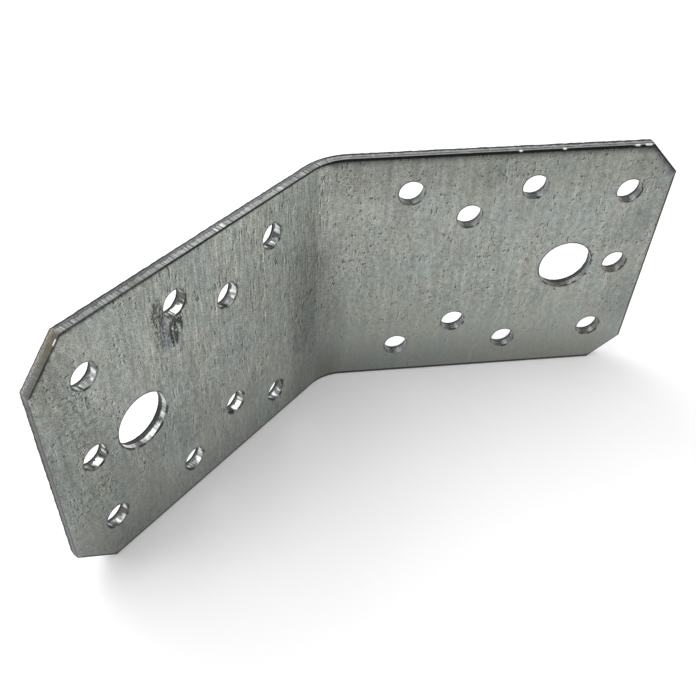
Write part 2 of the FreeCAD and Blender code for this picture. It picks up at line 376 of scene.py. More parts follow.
# %% [markdown]
# ## Punching the strip
# One copy of the right punch goes to each place on the flat strip, turned by an angle of its own, so that no
# two holes look alike. All copies are joined into one tool and taken out of the strip in a single Boolean
# stroke, which is cleaner than twenty strokes after each other.

# %% Twenty holes in one stroke
TURN_SEED = 41

turns = random.Random(TURN_SEED)
copies = []
for x, z, radius in hole_places:
    select_only(punch_of_size[radius])
    bpy.ops.object.duplicate()
    copy = bpy.context.active_object
    copy.rotation_euler.y = turns.uniform(0, 2 * math.pi)
    copy.location = (x, 0, z)
    copies.append(copy)

select_only(copies[0])
for copy in copies:
    copy.select_set(True)
bpy.ops.object.join()
tool = bpy.context.active_object
bpy.ops.object.transform_apply(location=True, rotation=True, scale=True)

select_only(bracket)
cut = bracket.modifiers.new("punched holes", "BOOLEAN")
cut.operation = "DIFFERENCE"
cut.solver = "EXACT"
cut.object = tool
bpy.ops.object.modifier_apply(modifier=cut.name)
for used in (tool, *punch_of_size.values()):
    bpy.data.objects.remove(used)
print("punched strip:", len(bracket.data.vertices), "corners,", len(bracket.data.polygons), "faces")

# %% [markdown]
# ## Remember the flat strip
# The finish depends on where a spot lay on the strip before the fold: how deep in the sheet it is, and how
# far along. So every corner keeps its flat place, in millimetres, as an attribute for the material. A corner
# at a hole also keeps the hole's radius, and on which side of the hole it lies: high on the upper left, where
# the painted line of shade round the rim is drawn in full.

# %% Keep the flat place of every corner
HOLE_REACH = 0.8

bracket.data.attributes.new("flat_sheet", "FLOAT_VECTOR", "POINT")
bracket.data.attributes.new("punched", "FLOAT", "POINT")
bracket.data.attributes.new("hole_side", "FLOAT", "POINT")
flat_place = bracket.data.attributes["flat_sheet"]
punched = bracket.data.attributes["punched"]
hole_side = bracket.data.attributes["hole_side"]
for number, corner in enumerate(bracket.data.vertices):
    flat_place.data[number].vector = corner.co
    for x, z, radius in hole_places:
        if math.hypot(corner.co.x - x, corner.co.z - z) < radius + HOLE_REACH:
            punched.data[number].value = radius
            hole_side.data[number].value = ((corner.co.z - z) - (corner.co.x - x)) / radius
at_holes = sum(kept.value > 0 for kept in punched.data)
print(f"{len(punched.data)} corners, {at_holes} of them at holes")

# %% [markdown]
# ## The fold
# The press brake bends the strip across its middle. The Simple Deform modifier does just that: it bends the
# part between its limits and carries both legs along straight. The limits are shares of the whole length, so
# they are worked out from the length of the arc.

# %% Fold the strip and set it in the frame
length = left_end + right_end
fold = bracket.modifiers.new("press fold", "SIMPLE_DEFORM")
fold.deform_method = "BEND"
fold.deform_axis = "Z"
fold.angle = -FOLD_TURN
fold.limits = ((left_end - half_arc) / length, (left_end + half_arc) / length)
bpy.ops.object.modifier_apply(modifier=fold.name)

bpy.ops.transform.resize(value=(MM, MM, MM), center_override=(0, 0, 0))
bpy.ops.object.transform_apply(location=True, rotation=True, scale=True)
bpy.ops.transform.translate(value=(fold_x * MM, box_high.y - SHEET * MM, box_low.z))
bpy.ops.object.transform_apply(location=True, rotation=True, scale=True)
low, high = (Vector([end(corner.co[axis] for corner in bracket.data.vertices) for axis in range(3)])
             for end in (min, max))
print("gap to the frame box, mm:", [round(gap / MM, 3) for gap in low - box_low],
      [round(gap / MM, 3) for gap in box_high - high])

# %% [markdown]
# ## Smooth shading
# The rolled rims and the fold are round, but the faces between them are flat. Smoothing by angle rounds only
# what meets at a small angle. Weighted normals then let the large flat faces win over the narrow rim faces
# beside them, so that no grey smear runs from a rim out over the flat steel.

# %% Smooth the rims, keep the faces flat
ROUND_BELOW = math.radians(32)
FLAT_FACE_WEIGHT = 90

bpy.ops.object.shade_smooth_by_angle(angle=ROUND_BELOW)
weigh = bracket.modifiers.new("flat faces win", "WEIGHTED_NORMAL")
weigh.keep_sharp = True
weigh.weight = FLAT_FACE_WEIGHT
bpy.ops.object.modifier_apply(modifier=weigh.name)
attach(bracket, "root")
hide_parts("angle_bracket")
triangles = sum(len(face.vertices) - 2 for face in bracket.data.polygons)
print("bracket:", triangles, "triangles")

# %% [markdown]
# ## The finish
# The sheet was dipped in zinc at the mill, before it was cut. So the faces and the rolled rims carry grey
# zinc, with fine streaks from the rollers, a faint mottling and small pits, while the cut edges show bare
# steel: a land that the tool polished, with fine drag marks through the sheet, and a dull, grainy torn band.
#
# Four materials would need hard borders between their faces. One material that reads the kept depth gives
# borders that wander, as torn steel does. It is a web of many small nodes, and laid out one by one they would
# fill pages. So each kind of node gets a short word first: words for sums, and words for soft steps.

# %% Small words for sums
steel = bpy.data.materials.new("zinc_coated_steel")
steel.use_nodes = True
tree = steel.node_tree


def feed(socket, value):
    """Links a node's output to a socket, or types a plain value into it."""
    if isinstance(value, bpy.types.NodeSocket):
        tree.links.new(value, socket)
    else:
        socket.default_value = value


def calc(operation, *values):
    """One step of arithmetic."""
    node = tree.nodes.new("ShaderNodeMath")
    node.operation = operation
    for socket, value in zip(node.inputs, values):
        feed(socket, value)
    return node.outputs[0]


def times(product, *factors):
    """Multiplies any number of shares or factors."""
    for factor in factors:
        product = calc("MULTIPLY", product, factor)
    return product


def plus(first, second):
    return calc("ADD", first, second)


def minus(first, second):
    return calc("SUBTRACT", first, second)


def without(share):
    """What a share leaves of one."""
    return calc("SUBTRACT", 1.0, share)


def either(first, second):
    """The larger of two shares."""
    return calc("MAXIMUM", first, second)


def off(value, middle):
    """How far a value lies from a middle, to either side."""
    return calc("ABSOLUTE", minus(value, middle))


def mixed(share, first, second):
    """Goes evenly from a first value to a second one as a share grows."""
    return plus(times(first, without(share)), times(second, share))


print("material:", steel.name)

# %% [markdown]
# ### Soft steps
# Hardly anything on worn metal has a hard border, so most words of the material are soft steps. One step
# serves for all of them: from a start value below one limit to an end value above another.


# %% Small words for soft steps
def ease(value, low, high, start=0.0, end=1.0):
    """A soft step: start below low, end above high."""
    node = tree.nodes.new("ShaderNodeMapRange")
    node.interpolation_type = "SMOOTHSTEP"
    limits = {"Value": value, "From Min": low, "From Max": high, "To Min": start, "To Max": end}
    for name, part in limits.items():
        feed(node.inputs[name], part)
    return node.outputs["Result"]


def near(distance, full, none):
    """1 as far as full, falling softly to 0 at none."""
    return ease(distance, full, none, 1.0, 0.0)


def blend(share, none, full):
    """Goes softly from one value at no share to another at a full one."""
    return ease(share, 0.0, 1.0, none, full)


def dim(shade, share, factor):
    """Multiplies a shade by a factor where there is a full share of something."""
    return times(shade, blend(share, 1.0, factor))


# %% [markdown]
# ### Patterns and colours
# A pattern is a noise with lumps of given sizes in millimetres: along the strip, through the sheet and up.
# Lumps that are long in one direction give streaks, and very long ones through the sheet give drag marks.


# %% Small words for patterns and colours
def vector_calc(operation, place, values):
    """One step of arithmetic on a place."""
    node = tree.nodes.new("ShaderNodeVectorMath")
    node.operation = operation
    feed(node.inputs[0], place)
    node.inputs[1].default_value = values
    return node.outputs[0]


def grain(place, sizes, detail=2.0, rough=0.5):
    """Noise with lumps of the given sizes."""
    node = tree.nodes.new("ShaderNodeTexNoise")
    feed(node.inputs["Vector"], vector_calc("DIVIDE", place, sizes))
    node.inputs["Scale"].default_value = 1.0
    node.inputs["Detail"].default_value = detail
    node.inputs["Roughness"].default_value = rough
    return node.outputs["Fac"]


def tint(share, first, second, how="MIX"):
    """Mixes two colours."""
    node = tree.nodes.new("ShaderNodeMix")
    node.data_type = "RGBA"
    node.blend_type = how
    feed(node.inputs["Factor"], share)
    for socket, colour in zip((node.inputs[6], node.inputs[7]), (first, second)):
        feed(socket, colour)
    return node.outputs[2]


def shaded(colour, factor):
    """Makes a colour darker or brighter by a factor."""
    return tint(1.0, colour, factor, "MULTIPLY")


# %% [markdown]
# ### What the material reads
# The kept attributes tell the material where it is. From the flat place come the distances to the edges of
# the strip, which most of the finish is measured from. The distance to a cropped corner is measured along the
# strip.


# %% Places on the strip, as the material knows them
def kept_value(name, output):
    """Reads what the corners keep under a name."""
    node = tree.nodes.new("ShaderNodeAttribute")
    node.attribute_name = name
    return node.outputs[output]


flat = kept_value("flat_sheet", "Vector")
split = tree.nodes.new("ShaderNodeSeparateXYZ")
feed(split.inputs[0], flat)
along, depth, height = split.outputs
from_top = minus(WIDTH, height)
from_left_end = plus(along, left_end)
from_right_end = minus(right_end, along)
corner_line = WIDTH + left_end - CORNER_CUT
from_left_crop = minus(corner_line, minus(height, along))
from_right_crop = minus(corner_line, plus(height, along))

left_leg = ease(along, -half_arc, half_arc, 1.0, 0.0)
right_leg = without(left_leg)
hole_radius = kept_value("punched", "Fac")
in_hole = calc("GREATER_THAN", hole_radius, nail_radius / 2)
in_bolt_hole = calc("GREATER_THAN", hole_radius, (nail_radius + bolt_radius) / 2)
outline = without(in_hole)
upper_left = ease(kept_value("hole_side", "Fac"), 0.1, 0.7)
print("places on the strip, nodes:", len(tree.nodes))

# %% [markdown]
# ### Zinc on the faces
# Fresh zinc is one even grey. This one has lain about, and a very large noise lets it drift between warmer
# and cooler. Beside the fold it is warmer and livelier than elsewhere.

# %% Zinc colour
ZINC_WARM = (0.369, 0.381, 0.344, 1)
ZINC_COOL = (0.348, 0.376, 0.352, 1)
LIVELY_PLACE = 4.0
LIVELY_REACH = (3, 9)
LIVELY_HEIGHT = (20, 32)

drift = grain(flat, (8, 8, 11), detail=3)
zinc = tint(ease(drift, 0.38, 0.62), ZINC_WARM, ZINC_COOL)
beside_fold = times(near(off(along, LIVELY_PLACE), *LIVELY_REACH), ease(height, *LIVELY_HEIGHT))
zinc = tint(times(beside_fold, 0.6), zinc, ZINC_WARM)
print("zinc colour, nodes:", len(tree.nodes))

# %% [markdown]
# ### Dents and specks
# The zinc has many short dents: each has a dark side, painted shade and dirt, and a pale side, painted light
# where the zinc stands up. On the inner part of the left leg they are drawn out into long ones. A dent is the
# lowest part of a stretched noise, so most of the face between the dents stays calm. Its pale side is the same
# noise read a small step away. Specks are made in the same way from a finer noise. Each layer is a factor
# around one, and the factors multiply.

# %% Dents and specks in the zinc
SHORT_DENT = (0.5, 2, 0.9)
LONG_DENT = (0.42, 2, 1.9)
LONG_DENTS_FROM = (-56, -42)
DENT_SHADE = 0.42
LIT_LIP_STEP = (-0.3, 0, 0.26)

gather = grain(flat, (6, 6, 6))
band = grain(flat, (1.5, 6, 12))
speckle = grain(flat, (0.36, 0.36, 0.42), rough=0.6)
dark_from = ease(gather, 0.4, 0.62, 0.31, 0.39)
dark_speck = ease(minus(speckle, dark_from), -0.05, 0.04, 0.5, 1.0)
pale_speck = ease(speckle, 0.60, 0.74, 1.0, 1.35)
scored = times(left_leg, ease(along, *LONG_DENTS_FROM, 0.1, 1.0))
crowd = mixed(0.5, gather, band)
dent_from = ease(crowd, 0.41, 0.59, 0.26, blend(left_leg, 0.39, 0.42))
dent_from = plus(dent_from, times(beside_fold, 0.03))


def sunk(place):
    """1 in a dent, 0 beside it."""
    dent = mixed(scored, *(grain(place, sizes, detail=1) for sizes in (SHORT_DENT, LONG_DENT)))
    return near(minus(dent, dent_from), -0.04, 0.02)


dents = sunk(flat)
lit_lips = sunk(vector_calc("ADD", flat, LIT_LIP_STEP))
# painted shade and dirt in the dents, and painted light on their pale lips
shade = dim(times(dark_speck, pale_speck), dents, DENT_SHADE)
shade = dim(shade, lit_lips, blend(left_leg, 1.2, 1.3))
print("dents and specks, nodes:", len(tree.nodes))

# %% [markdown]
# ### Bands, streaks and dust
# The rollers of the mill left slow bands and fine streaks that run up the standing bracket. Over them lie a
# soft mottling and a fine dust. The lower part of the sheet is smoother, so all of this is calmed there.

# %% Bands, streaks, mottling and dust
STREAKED_HEIGHT = (22, 44)
CALM_HEIGHT = (4, 26)

streak = grain(flat, (0.40, 2, 5.0), rough=0.55)
mottle = grain(flat, (0.9, 0.9, 1.3), rough=0.65)
dust = grain(flat, (0.2, 0.2, 0.24), detail=1)
rolled = times(scored, ease(height, *STREAKED_HEIGHT, 0.5, 1.0))
dusty = plus(blend(left_leg, 1.2, 2.0), times(beside_fold, 0.5))
layers = ((band, 0.75), (mottle, 1.1), (streak, blend(rolled, 0.3, 1.5)), (dust, dusty))
for texture, amount in layers:
    shade = times(shade, plus(1.0, times(minus(texture, 0.5), amount)))
calm = ease(height, *CALM_HEIGHT, blend(left_leg, 0.25, 0.55), 1.0)
shade = plus(1.0, times(minus(shade, 1.0), calm))
print("layers of fine texture:", len(layers))

# %% [markdown]
# ### Pits
# Small pits in the zinc hold dirt, so they look dark. They are the inner ends of Voronoi cells. Most cells
# have none: the chance of one follows a slow noise, so they gather in some places, as on the real sheet.

# %% Pits in the zinc
PIT_SPACING = 1.1
PIT_SIZE = 0.36
PIT_SHADE = 0.55

cells = tree.nodes.new("ShaderNodeTexVoronoi")
feed(cells.inputs["Vector"], vector_calc("DIVIDE", flat, (PIT_SPACING, PIT_SPACING, PIT_SPACING * 1.3)))
cells.inputs["Scale"].default_value = 1.0
chance = tree.nodes.new("ShaderNodeSeparateColor")
feed(chance.inputs[0], cells.outputs["Color"])
pit_rich = ease(grain(flat, (9, 9, 9), detail=3), 0.42, 0.62, 0.04, 0.6)
pit_reach = times(plus(chance.outputs[1], 0.5), PIT_SIZE / PIT_SPACING / 2)
in_pit = near(calc("DIVIDE", cells.outputs["Distance"], pit_reach), 0.6, 1.2)
pit = times(calc("LESS_THAN", chance.outputs[0], pit_rich), in_pit)
shade = dim(shade, times(pit, calm), PIT_SHADE)
print("pits of about", PIT_SIZE, "mm")

# %% [markdown]
# ### Marks of use
# The left leg was dragged over something below one nail hole. That left dark strokes, dark specks beside the
# hole, bright dots and a bluish smear. Nearer the end and in the fold there are grey smudges. Each mark is a
# soft oval on the flat strip, broken up by a noise, because a bare oval would look like a sticker.

# %% Scuffs and smudges
STROKES = ((-42.1, 41.6, 0.5, 2.9), (-41.1, 40.9, 0.6, 2.9), (-39.65, 42.4, 0.45, 1.9),
           (-41.95, 39.4, 0.35, 1.7), (-41.2, 43.6, 0.9, 1.1), (-40.2, 43.2, 0.6, 0.9))
STROKE_GROUND = (-41.0, 42.0, 2.2, 3.6)
DARK_SPECKS = (-44.7, 44.6, 1.9, 6.6)
SPECKS_AT_HOLE = (-44.5, 47.4, 1.7, 3.6)
BRIGHT_DOTS = (-42.4, 42.0, 3.2, 5.5)
GREY_SMEAR = (-43.6, 42.0, 1.3, 5.0)
BLUISH_SMEAR = (-43.5, 42.4, 0.9, 5.0)
BLUISH_ZINC = (0.33, 0.355, 0.4, 1)
END_SMUDGE = (-63.0, 37.5, 4.5, 8.5)
LOW_SMUDGE = (-62.0, 17.0, 5.5, 9.0)
FOLD_SMUDGE = (-8.2, 16.6, 3.0, 5.0)
INNER_FACE = (0.5, 1.0)

inner_face = near(depth, *INNER_FACE)
smear = grain(flat, (0.8, 0.8, 0.9), detail=3, rough=0.7)
blotch = grain(flat, (0.4, 0.4, 0.7), rough=0.6)


def oval(x, z, half_wide, half_high):
    """1 in the middle of an oval on the inner face, falling softly to 0 at its border."""
    across = calc("POWER", calc("DIVIDE", minus(along, x), half_wide), 2.0)
    up = calc("POWER", calc("DIVIDE", minus(height, z), half_high), 2.0)
    return times(near(plus(across, up), 0.25, 1.0), inner_face)


marks = [(stroke, blotch, (0.30, 0.44), 0.27) for stroke in STROKES]
marks += [
    (STROKE_GROUND, blotch, (0.20, 0.40), 0.82),
    (DARK_SPECKS, blotch, (0.46, 0.58), 0.45),
    (SPECKS_AT_HOLE, blotch, (0.38, 0.52), 0.5),
    (BRIGHT_DOTS, without(blotch), (0.58, 0.68), 2.1),
    (GREY_SMEAR, smear, (0.20, 0.40), 0.72),
    (END_SMUDGE, smear, (0.42, 0.60), 0.62),
    (LOW_SMUDGE, smear, (0.45, 0.62), 0.72),
    (FOLD_SMUDGE, smear, (0.35, 0.60), 0.72),
]
for place, texture, shows, factor in marks:
    shade = dim(shade, times(oval(*place), ease(texture, *shows)), factor)
zinc = tint(times(oval(*BLUISH_SMEAR), 0.6), zinc, BLUISH_ZINC)
print("marks of use:", len(marks))

# %% [markdown]
# ### Patches of painted shade and light
# Some parts of the faces are painted a little darker or paler than the rest: painted shade and painted light.
# These patches are so wide and soft that they need no noise: an oval and a factor are enough for each.

# %% Slow patches of painted shade and light
SHADE_AND_LIGHT_PATCHES = ((-62, 17, 19, 22, 0.82), (-41, 19, 10, 8, 0.88), (-19, 53, 18, 14, 1.11),
         (-64.6, 48.2, 4.2, 5.5, 0.83), (62.7, 37.0, 5.0, 6.0, 0.86), (30.5, 50.0, 4.0, 4.0, 0.86),
         (-24.7, 14.0, 4.5, 5.5, 0.88))

# painted shade and painted light: slow darker and paler patches
for *place, factor in SHADE_AND_LIGHT_PATCHES:
    shade = dim(shade, oval(*place), factor)
print("patches of tone:", len(SHADE_AND_LIGHT_PATCHES))

# %% [markdown]
# ### Painted shade in the rims
# The rolled rims get a dark line of painted shade, which stands in for the dark front of the room mirrored
# in them. It is drawn by depth in the sheet. The rim of a hole and the lower rim are seen very flat, so their
# line starts further in, or it would be too thin to see. On the cropped corners and on the left upper edge the
# line is thinner, at the left end it lies deeper and is weaker, and round a hole it is broken except on the
# upper left.

# %% Painted shade in the rims
LAND_FROM = 0.26
LEFT_END_BAND = (0.9, 1.5)
LOWER_BAND = (0.9, 1.3)
UPPER_BAND = (1.0, 1.4)
CROP_BAND = (1.3, 1.7)
LINE_FADES_ALONG = (-52, -32)
DEEPER_AT_END = 0.15
RIM_LINE_SHADE = 0.06

between_crops = calc("LESS_THAN", off(height, WIDTH / 2), WIDTH / 2 - CORNER_CUT)
on_left_end = times(near(from_left_end, *LEFT_END_BAND), between_crops)
seen_flat = either(in_hole, near(height, *LOWER_BAND))
at_crop = either(near(from_left_crop, *CROP_BAND), near(from_right_crop, *CROP_BAND))
thinner_line = times(either(at_crop, times(left_leg, near(from_top, *UPPER_BAND))), outline)


def line_depth(plain, at_flat_rim, deeper_if_thinner):
    """A depth in the sheet that suits each kind of rim."""
    deeper = plus(times(on_left_end, DEEPER_AT_END), times(thinner_line, deeper_if_thinner))
    return plus(blend(seen_flat, plain, at_flat_rim), deeper)


line_start = line_depth(plain=0.02, at_flat_rim=0.001, deeper_if_thinner=0.05)
line_full = line_depth(plain=0.09, at_flat_rim=0.016, deeper_if_thinner=0.07)
rim_shade_line = times(ease(depth, line_start, line_full), near(depth, LAND_FROM, RIM_DEPTH))
rim_shade_line = dim(rim_shade_line, on_left_end, 0.3)
rim_shade_line = times(rim_shade_line, without(times(thinner_line, ease(along, *LINE_FADES_ALONG, 0.35, 0.0))))
broken = ease(grain(flat, (1.7, 1.7, 1.7), detail=1), 0.42, 0.6, 0.12, 0.85)
rim_shade_line = dim(rim_shade_line, in_hole, either(broken, upper_left))
# painted shade: the dark line along the rolled rims and round the holes
shade = dim(shade, rim_shade_line, RIM_LINE_SHADE)
print("dirt in the rims, nodes:", len(tree.nodes))

# %% [markdown]
# ### Painted shade on the faces
# Wider, fainter painted shade lies along the edges, at both ends and low in the fold. Each zone is a factor
# that falls off with the distance from where the shade is deepest.

# %% Painted shade along the edges and in the fold
UPPER_LINE = (0.5, 2.4)
WIDE_SHADE = (2, 14)
RIGHT_END_HEIGHT = (7, 16)
RIGHT_END_FADES = (18, 28)
FOLD_SHADE_PLACE = -4.0
FOLD_SHADE_REACH = (3, 11)
FOLD_SHADE_HEIGHT = (30, 46)
LOWER_SHADE = (0, 14)
CROP_SHADE = (0.7, 2.8)
LEFT_END_SHADE = (0, 8)
LEFT_END_HEIGHT = (20, 46)

# painted shade: darker zones under the upper edge, along the lower edge, at both ends and in the fold
under_top = dim(near(from_top, *UPPER_LINE), left_leg, 0.1)
upper_right = times(near(from_top, *WIDE_SHADE), right_leg)
right_side = times(near(from_right_end, *WIDE_SHADE), ease(height, *RIGHT_END_HEIGHT))
right_side = times(right_side, ease(height, *RIGHT_END_FADES, 1.0, 0.4))
in_fold = times(near(off(along, FOLD_SHADE_PLACE), *FOLD_SHADE_REACH), near(height, *FOLD_SHADE_HEIGHT))
for zone, factor in ((under_top, 0.62), (upper_right, 0.86), (right_side, 0.75), (in_fold, 0.77)):
    shade = dim(shade, zone, factor)

lower_edge = ease(height, *LOWER_SHADE, blend(left_leg, 0.72, 0.79), 1.0)
right_crop = ease(from_right_crop, *CROP_SHADE, 0.7, 1.0)
left_side = ease(from_left_end, *LEFT_END_SHADE, ease(height, *LEFT_END_HEIGHT, 0.92, 0.74), 1.0)
shade = times(shade, lower_edge, right_crop, left_side)
zinc = shaded(zinc, shade)
print("grime added, nodes:", len(tree.nodes))

# %% [markdown]
# ### White spots and a painted highlight
# Where the upper rim was knocked, the zinc is painted white in spots, and one spot on the left cropped corner
# is a painted highlight. The spots on the rim sit on the same nicks that were pushed into it, so shape and
# colour agree.

# %% White spots on the nicks and a painted highlight
HIGHLIGHT_OVAL = (-63.2, 54.0, 0.6, 0.7)
HIGHLIGHT_STARTS = (0.2, 0.28)
HIGHLIGHT_ENDS = (0.4, 0.5)
SPOT_DEPTH = 0.42
SPOT_REACH = (0.14, 0.3)
SPOT_HIGH = 0.6

knocked = 0.0
for nick_x, half_wide in NICKS:
    knocked = either(knocked, near(off(along, nick_x), 0, half_wide))
white_spots_and_highlight = ease(times(knocked, plus(speckle, 0.3)), 0.18, 0.4)
on_upper_edge = calc("LESS_THAN", from_top, SPOT_HIGH)
white_spots_and_highlight = times(white_spots_and_highlight, near(off(depth, SPOT_DEPTH), *SPOT_REACH), on_upper_edge)
# painted highlight: a white fleck on the rim of the left cropped corner
painted_highlight = times(oval(*HIGHLIGHT_OVAL), ease(depth, *HIGHLIGHT_STARTS), near(depth, *HIGHLIGHT_ENDS))
white_spots_and_highlight = either(white_spots_and_highlight, painted_highlight)
print("blooms:", len(NICKS) + 1)

# %% [markdown]
# ### Where the cut shears and where it tears
# Behind the rim lies the sheared land. The torn band starts where a wandering line crosses the depth, so its
# border is never straight. The line lies deeper in the holes and on the right leg. The outer face itself is
# zinc again.

# %% Land and torn band
OUTLINE_TEAR = (1.15, 1.6)
BOLT_HOLE_TEAR = (1.28, 1.4)
DEEPER_IN_HOLES = 0.3
DEEPER_ON_RIGHT = 0.2
TEAR_SOFTNESS = 0.12
LAND_SOFTNESS = 0.1
OUTER_ZINC = (SHEET - 0.02, SHEET - 0.002)

wander = grain(flat, (1.2, 40, 1.2), detail=3, rough=0.55)
right_outline = times(right_leg, outline)
tear_line = plus(ease(wander, 0.3, 0.7, *OUTLINE_TEAR), times(in_hole, DEEPER_IN_HOLES))
tear_line = blend(in_bolt_hole, tear_line, ease(wander, 0.3, 0.7, *BOLT_HOLE_TEAR))
tear_line = plus(tear_line, times(right_outline, DEEPER_ON_RIGHT))
on_cut = near(depth, *OUTER_ZINC)
land = times(ease(depth, LAND_FROM, LAND_FROM + LAND_SOFTNESS), on_cut)
torn = times(ease(minus(depth, tear_line), -TEAR_SOFTNESS, TEAR_SOFTNESS), on_cut)
print("land from", LAND_FROM, "mm")

# %% [markdown]
# ### Sheared steel on the outline
# The outline was sheared and has since gone dull. The left end is painted much darker as painted shade, and the
# left cropped corner has a brown breath of rust. The left upper edge gets painted shade that deepens towards
# its end.

# %% Sheared steel
SHEARED_STEEL = (0.46, 0.48, 0.47, 1)
SHADED_END_STEEL = (0.06, 0.063, 0.061, 1)
RUSTY_STEEL = (0.18, 0.164, 0.13, 1)
STALE_STEEL = (0.2, 0.199, 0.192, 1)
LEFT_CROP_CUT = (0.2, 1.0)
LEFT_END_CUT = (CORNER_CUT - 0.3, CORNER_CUT + 0.1)
RUST_HEIGHT = (49.5, 53.5)
PALER_DEPTH = (0.5, 1.9)
SHADED_EDGE_PART = (-48, -28)
EDGE_SHADE = 0.36

on_left_crop = near(from_left_crop, *LEFT_CROP_CUT)
left_cut = near(from_left_end, *LEFT_END_CUT)
crop_steel = tint(ease(height, *RUST_HEIGHT), STALE_STEEL, RUSTY_STEEL)
crop_steel = shaded(crop_steel, ease(depth, *PALER_DEPTH, 0.7, 1.4))
# painted shade: the left upper edge darkens towards its end, and the left end is painted dark
edge_shade = ease(along, *SHADED_EDGE_PART, EDGE_SHADE, 1.0)
sheared = shaded(SHEARED_STEEL, times(edge_shade, blend(right_leg, 1.0, 1.1)))
sheared = tint(on_left_crop, tint(left_cut, sheared, SHADED_END_STEEL), crop_steel)
print("sheared steel, nodes:", len(tree.nodes))

# %% [markdown]
# ### Punched steel and drag marks
# The punches left a bright land in the holes of the left leg, with dark patches of painted reflection in it.
# In the right leg the same land is painted much darker, as painted shade. Every land has drag marks that run
# through the sheet: the noise is stretched along the depth. On the left upper edge the shear smeared the steel
# into bolder stripes here and there.

# %% Punched steel and drag marks
PUNCHED_STEEL = (0.52, 0.54, 0.53, 1)
SHADED_LAND_STEEL = (0.175, 0.18, 0.178, 1)
DARK_REFLECTION_STEEL = (0.11, 0.113, 0.108, 1)

dark_reflection = ease(grain(flat, (1.9, 9, 1.9), rough=0.55), 0.45, 0.56)
dark_reflection = either(dark_reflection, times(in_bolt_hole, 0.45))
# painted reflection: dark patches in the land; painted shade: the darker land in the right leg
punched_steel = tint(left_leg, SHADED_LAND_STEEL, tint(dark_reflection, DARK_REFLECTION_STEEL, PUNCHED_STEEL))

drag = grain(flat, (0.3, 6, 0.3))
smeared = times(ease(grain(flat, (3.5, 40, 3.5)), 0.44, 0.56), outline, left_leg, without(on_left_crop))
plain_cut = either(right_outline, on_left_crop)
drag_low = blend(plain_cut, blend(smeared, 0.68, 0.4), 0.88)
drag_high = blend(plain_cut, blend(smeared, 1.22, 1.7), 1.1)
bright = shaded(tint(in_hole, sheared, punched_steel), ease(drag, 0.34, 0.66, drag_low, drag_high))
print("punched steel, nodes:", len(tree.nodes))

# %% [markdown]
# ### Torn steel
# The torn band is grainy and takes in more dirt than the land. At the left end and along the left upper edge it
# takes the same painted shade as the land. Towards the outer face it ends in a dark line of painted shade at
# the burr. The line is wide on the right leg and at the left end, and narrow on the left cropped corner.

# %% Torn steel
TORN_STEEL = (0.195, 0.206, 0.203, 1)
BACK_LINE = (0.03, 0.03, 0.03, 1)
BACK_LINE_WIDTH = 0.56
RIGHT_LINE_WIDTH = 1.0
NARROWER_ON_CROP = 0.22
WIDER_AT_END = 0.6
BACK_LINE_SOFTNESS = 0.28

grit = grain(flat, (0.2, 0.2, 0.2))
dull = tint(times(left_cut, 0.8), TORN_STEEL, SHADED_END_STEEL)
dull = shaded(dull, ease(times(outline, edge_shade), EDGE_SHADE, 1.0, 0.6, 1.0))
dull = shaded(tint(on_left_crop, dull, crop_steel), ease(grit, 0.3, 0.7, 0.5, 1.5))
dull = tint(times(in_bolt_hole, 0.7), dull, BACK_LINE)
# painted shade: the dark line at the burr, towards the outer face
line_width = blend(right_outline, BACK_LINE_WIDTH, RIGHT_LINE_WIDTH)
line_width = minus(line_width, times(on_left_crop, NARROWER_ON_CROP))
line_width = plus(line_width, times(on_left_end, WIDER_AT_END))
past_line = minus(depth, minus(SHEET, line_width))
dull = tint(ease(past_line, 0.0, BACK_LINE_SOFTNESS), dull, BACK_LINE)
print("torn steel, nodes:", len(tree.nodes))

# %% [markdown]
# ### Dark lines on the cut
# Two fine dark lines finish the edge: one where the land breaks off into the torn band, and a lap that the
# blade drew along the right upper edge and the left end. Then zinc, land and torn band are laid over each other
# in the order in which the press made them, and the white spots and the painted highlight go on top.

# %% Lines, and all colours together
WHITE_SPOT_AND_HIGHLIGHT = (0.85, 0.86, 0.86, 1)
TEAR_WIDTH = (0.06, 0.17)
LAP_WIDTH = (0.09, 0.22)
LAP_DEPTH = 0.78
LEFT_END_LAP_DEPTH = 0.46

tear = ease(off(depth, tear_line), *TEAR_WIDTH, 0.75, 0.0)
tear = times(tear, blend(left_leg, 1.0, 0.5), land, on_cut)
end_outline = times(on_left_end, outline)
lap = ease(off(depth, blend(end_outline, LAP_DEPTH, LEFT_END_LAP_DEPTH)), *LAP_WIDTH, 0.8, 0.0)
lap_breaks = ease(grain(flat, (2.2, 40, 2.2)), 0.36, 0.52, 0.4, 1.0)
lap = times(lap, either(right_outline, end_outline), lap_breaks)

colour = tint(torn, tint(land, zinc, bright), dull)
for line in (tear, lap):
    colour = tint(line, colour, BACK_LINE)
colour = tint(white_spots_and_highlight, colour, WHITE_SPOT_AND_HIGHLIGHT)
print("cut edges added, nodes:", len(tree.nodes))

# %% [markdown]
# ### Gloss and relief
# Zinc is half dull, a punched land is polished, and torn steel hardly shines. Specks, streaks, dents and pits
# are also felt as relief, but they are far too shallow to model, so a bump node tilts the light on them. The
# painted shade line in the rims, the white spots and the painted highlight aren't metal, so they take the metal
# away where they lie.

# %% Roughness, relief and metal
ZINC_ROUGH = (0.34, 0.5)
POLISHED_ROUGH = (0.1, 0.22)
UNPOLISHED_ROUGHER = 0.22
TORN_ROUGH = 0.55
RELIEF_HEIGHT = 0.08 * MM
RELIEF_STRENGTH = 0.35

